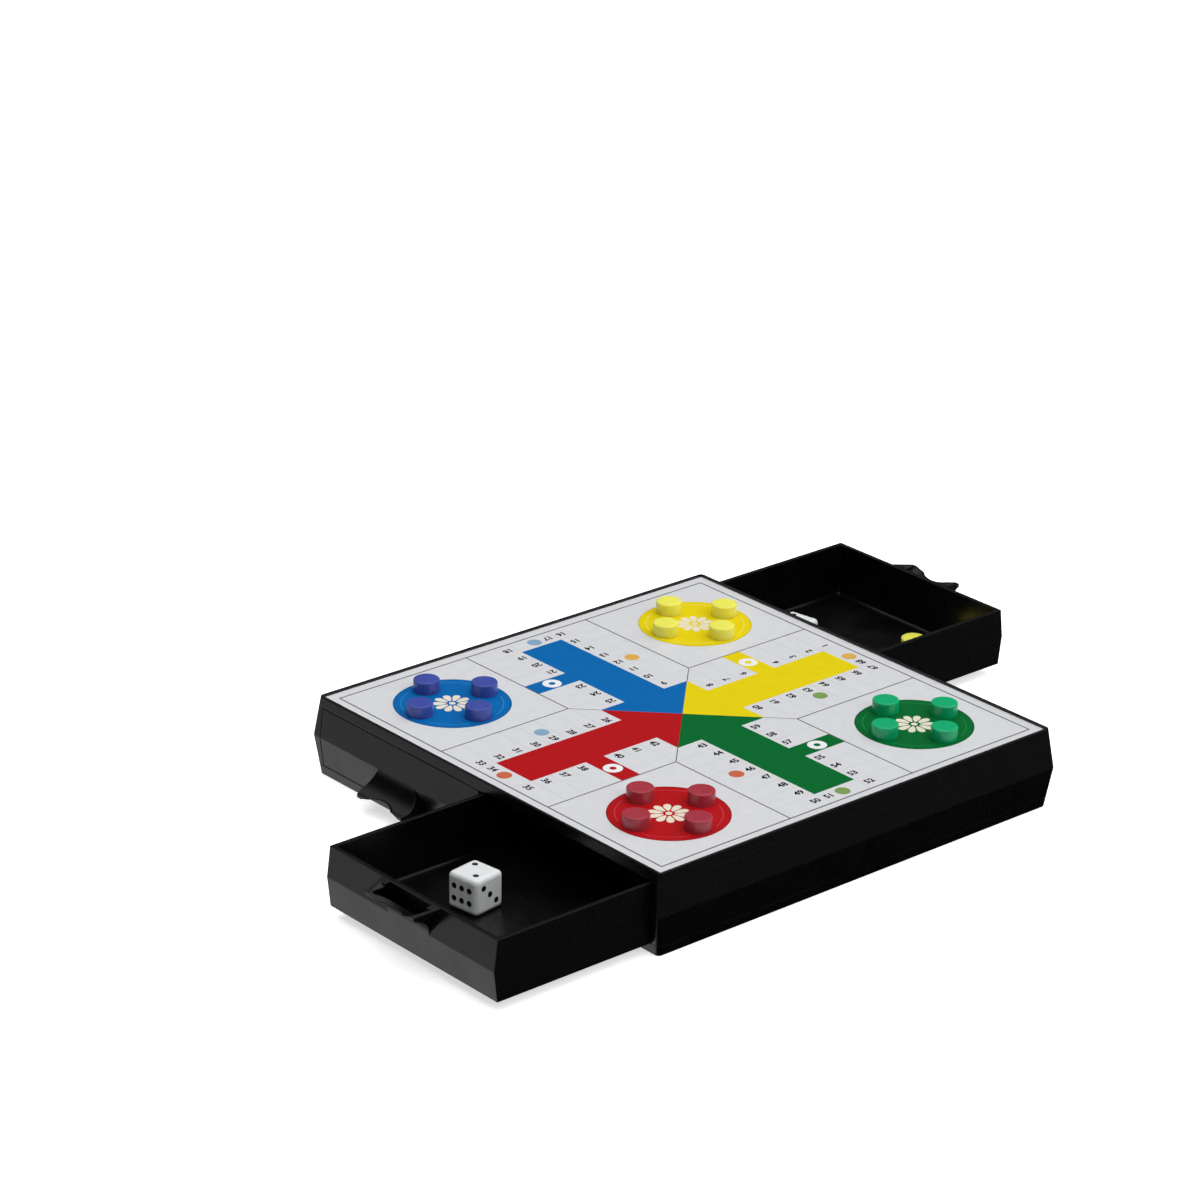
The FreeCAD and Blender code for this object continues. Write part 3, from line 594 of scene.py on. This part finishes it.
# %% Sunburst and numbers of the track
RAYS = 16
PANEL_MARGIN = 1.5
BURST_RADIUS = 8.5
TRACK_NUMBER_HEIGHT = 3.4
TRACK_NUMBER_LEFT, TRACK_NUMBER_UP = 7.0, 6.6
panel_half = CENTRE_CELLS * TRACK_CELL / 2 - PANEL_MARGIN
panel = cushion_square(0, 0, panel_half, steps=64, power=12)
burst = [petal(0, 0, 360 / RAYS * step, near=9.5, far=27, width=6.4) for step in range(RAYS)]
panel_ink = lithograph_ink("track_navy", "#2c3f6e")
burst_ink = lithograph_ink("track_gold", "#e8b440")
print_ink("track_panel", [panel], panel_ink, **track)
print_ink("track_burst", [disc(0, 0, BURST_RADIUS), *burst], burst_ink, layer=2, **track)
track_marks = [(str(number), x - TRACK_NUMBER_LEFT, y + TRACK_NUMBER_UP, 0)
               for number, (x, y) in enumerate(track_middles, start=1)]
print_numbers("track_numbers", track_marks, TRACK_NUMBER_HEIGHT, black_ink, on_track, 2)

# %% [markdown]
# ## Painted pips
# A die's pips are shallow round pits, and each pit is filled with a film of black paint. The film is a
# small lens: a grid over a square is squeezed into a circle, which leaves no pole or seam, and lifted
# on the sphere of the pit. Its back grips a little way into the resin, and its front lies a few
# hundredths of a millimetre in front of the pit.

# %% One film of paint
PIP_RADIUS = 1.25
PIP_DEPTH = 0.5
PAINT = 0.06
PAINT_GRIP = 0.03
PIT_RADIUS = (PIP_RADIUS ** 2 + PIP_DEPTH ** 2) / (2 * PIP_DEPTH)


def lens_grid(steps=9):
    """Square to circle: (u sqrt(1 - v^2 / 2), v sqrt(1 - u^2 / 2)), then two sheets on the pit's sphere."""
    u, v = np.meshgrid(np.linspace(-1, 1, steps), np.linspace(-1, 1, steps), indexing="ij")
    across = PIP_RADIUS * u * np.sqrt(1 - v ** 2 / 2)
    along = PIP_RADIUS * v * np.sqrt(1 - u ** 2 / 2)
    pit = PIT_RADIUS - PIP_DEPTH - np.sqrt(PIT_RADIUS ** 2 - across ** 2 - along ** 2)
    sheets = [np.stack([across, along, pit + rise], -1).reshape(-1, 3) for rise in (-PAINT_GRIP, PAINT)]
    index = np.arange(steps * steps).reshape(steps, steps)
    front = np.stack([index[:-1, :-1], index[1:, :-1], index[1:, 1:], index[:-1, 1:]], -1).reshape(-1, 4)
    loop = np.concatenate([index[:-1, 0], index[-1, :-1], index[:0:-1, -1], index[0, :0:-1]])
    follow = np.roll(loop, -1)
    walls = np.column_stack([loop, follow, follow + steps ** 2, loop + steps ** 2])
    return np.concatenate(sheets), np.concatenate([front[:, ::-1], front + steps ** 2, walls])


film, film_faces = lens_grid()
print("a film of paint has", len(film_faces), "faces")

# %% Pips on both dice
# PIPS is keyed by the face, as (axis, side). A pip is a pair of steps along the next two axes.
DIE_HALF = 8.0
PIP_PITCH = 3.7
SIX_ROWS = np.array((-2.75, 2.75)) / PIP_PITCH
SIX_COLUMNS = np.array((-4.1, 0, 4.1)) / PIP_PITCH
DIE_TURNS = {"die_front": 7.8, "die_back": 10}
PIPS = {
    (2, 1): [(-1, 1), (1, -1)],
    (2, -1): [(-1, -1), (-1, 1), (0, 0), (1, -1), (1, 1)],
    (1, -1): [(row, column) for row in SIX_ROWS for column in SIX_COLUMNS],
    (1, 1): [(0, 0)],
    (0, 1): [(-1, 1), (0, 0), (1, -1)],
    (0, -1): [(-1, -1), (-1, 1), (1, -1), (1, 1)],
}
pip_paint = polished_resin("pip_black_enamel", "#0d0d10", roughness=0.25, scatter=0.0, depth=0.1 * MM,
                           mark=TUMBLE_MARK)
for die, degrees in DIE_TURNS.items():
    low, high = (np.array(corner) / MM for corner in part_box(die))
    cos, sin = np.cos(np.radians(degrees)), np.sin(np.radians(degrees))
    spin = np.array([(cos, sin, 0), (-sin, cos, 0), (0, 0, 1)])
    points = []
    faces = []
    for (axis, side), pips in PIPS.items():
        first, second = (axis + 1) % 3, (axis + 2) % 3
        for one, two in pips:
            placed = np.empty_like(film)
            placed[:, first] = one * PIP_PITCH + film[:, 0]
            placed[:, second] = two * PIP_PITCH + film[:, 1] * side
            placed[:, axis] = side * (DIE_HALF + film[:, 2])
            faces += (film_faces + len(points) * len(film)).tolist()
            points.append(placed @ spin + (low + high) / 2)
    new_piece(die + "_pips", np.concatenate(points), faces, pip_paint, die)
    print(die, len(points), "pips")

# %% [markdown]
# ## Floor and backdrop
# The board stands on a plain white table in front of white paper. The table is diffuse, so it keeps the
# soft shadow, but by itself it would render grey. A glow that only camera, mirror and see-through rays
# meet lifts it to white and lights nothing. Black plastic would mirror so bright a table, and in the
# photograph it does not, so the table is hidden from mirror images and the room of the next step takes
# its place. The paper is a low round wall that only the camera sees.

# %% Floor
FLOOR_HALF = 6.0
FLOOR_DROP = 0.1 * MM
FLOOR_LIFT = 0.62


def stage_piece(name, points, faces, material):
    """A mesh that belongs to the studio and not to the object, in metres."""
    mesh = bpy.data.meshes.new(name)
    mesh.from_pydata(points, [], faces)
    mesh.materials.append(material)
    made = bpy.data.objects.new(name, mesh)
    bpy.context.scene.collection.objects.link(made)
    return made


table_white = empty_material("table_white")
tree = table_white.node_tree
cloth = add_node(tree, "ShaderNodeBsdfDiffuse", {"Color": linear("#fdfdfd")})
rays = add_node(tree, "ShaderNodeLightPath").outputs
seen = rays["Is Camera Ray"]
for other in ("Is Glossy Ray", "Is Transmission Ray"):
    seen = add_node(tree, "ShaderNodeMath", {0: seen, 1: rays[other]}, operation="ADD").outputs["Value"]
lift = add_node(tree, "ShaderNodeMath", {0: seen, 1: FLOOR_LIFT}, operation="MULTIPLY")
lifted = add_node(tree, "ShaderNodeEmission", {"Color": linear("#ffffff"), "Strength": lift.outputs["Value"]})
both = add_node(tree, "ShaderNodeAddShader", {0: cloth.outputs["BSDF"], 1: lifted.outputs["Emission"]})
add_node(tree, "ShaderNodeOutputMaterial", {"Surface": both.outputs["Shader"]})
corners = np.array([(-1, -1, 0), (1, -1, 0), (1, 1, 0), (-1, 1, 0)]) * FLOOR_HALF - (0, 0, FLOOR_DROP)
floor = stage_piece("floor", corners, [(0, 1, 2, 3)], table_white)
floor.visible_glossy = False
print("floor", 2 * FLOOR_HALF, "m across")

# %% Backdrop
WALL_RADIUS = 5.9
WALL_HEIGHT = 3.0
WALL_SIDES = 64
paper_white = empty_material("paper_white")
tree = paper_white.node_tree
paper = add_node(tree, "ShaderNodeEmission", {"Color": linear("#ffffff"), "Strength": 1.0})
add_node(tree, "ShaderNodeOutputMaterial", {"Surface": paper.outputs["Emission"]})
foot = np.column_stack([disc(0, 0, WALL_RADIUS, WALL_SIDES), np.zeros(WALL_SIDES)])
index = np.arange(WALL_SIDES)
follow = np.roll(index, -1)
wall_faces = np.column_stack([index, index + WALL_SIDES, follow + WALL_SIDES, follow]).tolist()
wall = stage_piece("backdrop", np.concatenate([foot, foot + (0, 0, WALL_HEIGHT)]), wall_faces, paper_white)
for ray in ("diffuse", "glossy", "transmission", "shadow"):
    setattr(wall, "visible_" + ray, False)
print("backdrop", WALL_HEIGHT, "m high")

# %% [markdown]
# ## Light
# A wide soft lamp far above lights the board evenly, like a studio ceiling, so a colour renders about
# as it is written and the shadow stays soft. Black plastic shows mostly what it mirrors. In the
# photograph the front faces mirror the pale table to the front left, brighter the lower they look,
# while the right-hand faces mirror the dark of the room, and only the rounded rims catch the ceiling.
# The world is that room. Two ramps give its brightness by how high a direction points, one towards the
# table and one for the rest of the room. The lamp is left out of mirror images, so that the room alone
# decides them.

# %% Room
# A level is (height of a direction, from -1 straight down to 1 straight up, and its brightness).
# TABLE_SIDE points to the table. Its ramp begins where a direction shares TABLE_EDGE of that one, and
# has taken over where it shares TABLE_FULL.
ROOM = ((-0.6, 0.0), (-0.15, 0.09), (0.1, 0.05), (0.4, 0.05), (0.58, 0.06), (0.8, 0.9))
TABLE = ((-0.9, 0.3), (-0.6, 1.0), (-0.2, 0.36), (-0.05, 0.02), (0.58, 0.03), (0.8, 0.9))
TABLE_SIDE = (-0.75, -0.66, 0.0)
TABLE_EDGE, TABLE_FULL = 0.4, 0.85
scene = bpy.context.scene
scene.view_settings.view_transform = "Standard"
room = bpy.data.worlds.new("room")
scene.world = room
room.use_nodes = True
tree = room.node_tree
tree.nodes.clear()
direction = add_node(tree, "ShaderNodeTexCoord").outputs["Generated"]
height = add_node(tree, "ShaderNodeSeparateXYZ", {"Vector": direction}).outputs["Z"]
share = add_node(tree, "ShaderNodeMapRange", {"Value": height, "From Min": -1.0}).outputs["Result"]
glows = []
for levels in (ROOM, TABLE):
    ramp = add_node(tree, "ShaderNodeValToRGB", {"Fac": share})
    stops = ramp.color_ramp.elements
    for level, brightness in levels:
        stops.new((level + 1) / 2).color = (brightness, brightness, brightness, 1)
    # A new ramp has a stop at each end, which the levels replace.
    stops.remove(stops[0])
    stops.remove(stops[-1])
    glows.append(ramp.outputs["Color"])
toward = add_node(tree, "ShaderNodeVectorMath", {0: direction, 1: TABLE_SIDE}, operation="DOT_PRODUCT")
facing = add_node(tree, "ShaderNodeMapRange", {
    "Value": toward.outputs["Value"], "From Min": TABLE_EDGE, "From Max": TABLE_FULL},
    interpolation_type="SMOOTHSTEP")
glow = add_node(tree, "ShaderNodeMix", {
    "Factor": facing.outputs["Result"], "A": glows[0], "B": glows[1]}, data_type="RGBA")
background = add_node(tree, "ShaderNodeBackground", {"Color": glow.outputs["Result"], "Strength": 1.0})
add_node(tree, "ShaderNodeOutputWorld", {"Surface": background.outputs["Background"]})
print("room of", len(ROOM), "levels, table side of", len(TABLE))

# %% Lamp
LAMP_ENERGY = 2.1
LAMP_SPREAD = 120
LAMP_TILT = (-30, 22, 0)
lamp = bpy.data.lights.new("ceiling", "SUN")
lamp.energy = LAMP_ENERGY
lamp.angle = np.radians(LAMP_SPREAD)
ceiling = bpy.data.objects.new("ceiling", lamp)
ceiling.rotation_euler = np.radians(LAMP_TILT)
ceiling.visible_glossy = False
scene.collection.objects.link(ceiling)
print("lamp", LAMP_ENERGY, "W per square metre, spread over", LAMP_SPREAD, "degrees")

# %% [markdown]
# ## Camera
# The photograph was taken from the front right and a little above. The angles, the distance and the
# focal length were fitted to the outline of the case and to its print. The camera then moves sideways
# and up in its own plane, without turning, until the board lies in the frame as in the photograph.

# %% Camera
# AZIMUTH is counted from the front towards the right. Lengths are in metres.
AZIMUTH, ELEVATION, ROLL = np.radians((48.9014, 22.657, 0.9757))
DISTANCE = 1.750
AIM_RIGHT, AIM_UP = -0.0348, 0.06354
CASE_MIDDLE = np.array((0, 0, 0.0188))
FOCAL_PIXELS, PHOTO_PIXELS = 4104.4, 1200
SENSOR = 36
FAR_END = 50
level_right = np.array((np.cos(AZIMUTH), np.sin(AZIMUTH), 0))
level_back = np.array((np.sin(AZIMUTH), -np.cos(AZIMUTH), 0))
back = np.cos(ELEVATION) * level_back + np.array((0, 0, np.sin(ELEVATION)))
level_up = np.cross(back, level_right)
right = np.cos(ROLL) * level_right + np.sin(ROLL) * level_up
up = -np.sin(ROLL) * level_right + np.cos(ROLL) * level_up
eye = CASE_MIDDLE + AIM_RIGHT * right + AIM_UP * up + DISTANCE * back
optics = bpy.data.cameras.new("camera")
optics.sensor_width = SENSOR
optics.lens = SENSOR * FOCAL_PIXELS / PHOTO_PIXELS
optics.clip_end = FAR_END
camera = bpy.data.objects.new("camera", optics)
stance = np.eye(4)
stance[:3] = np.column_stack([right, up, back, eye])
camera.matrix_world = Matrix(stance.tolist())
scene.collection.objects.link(camera)
scene.camera = camera
print("camera", eye.round(3), "lens", round(optics.lens, 1))
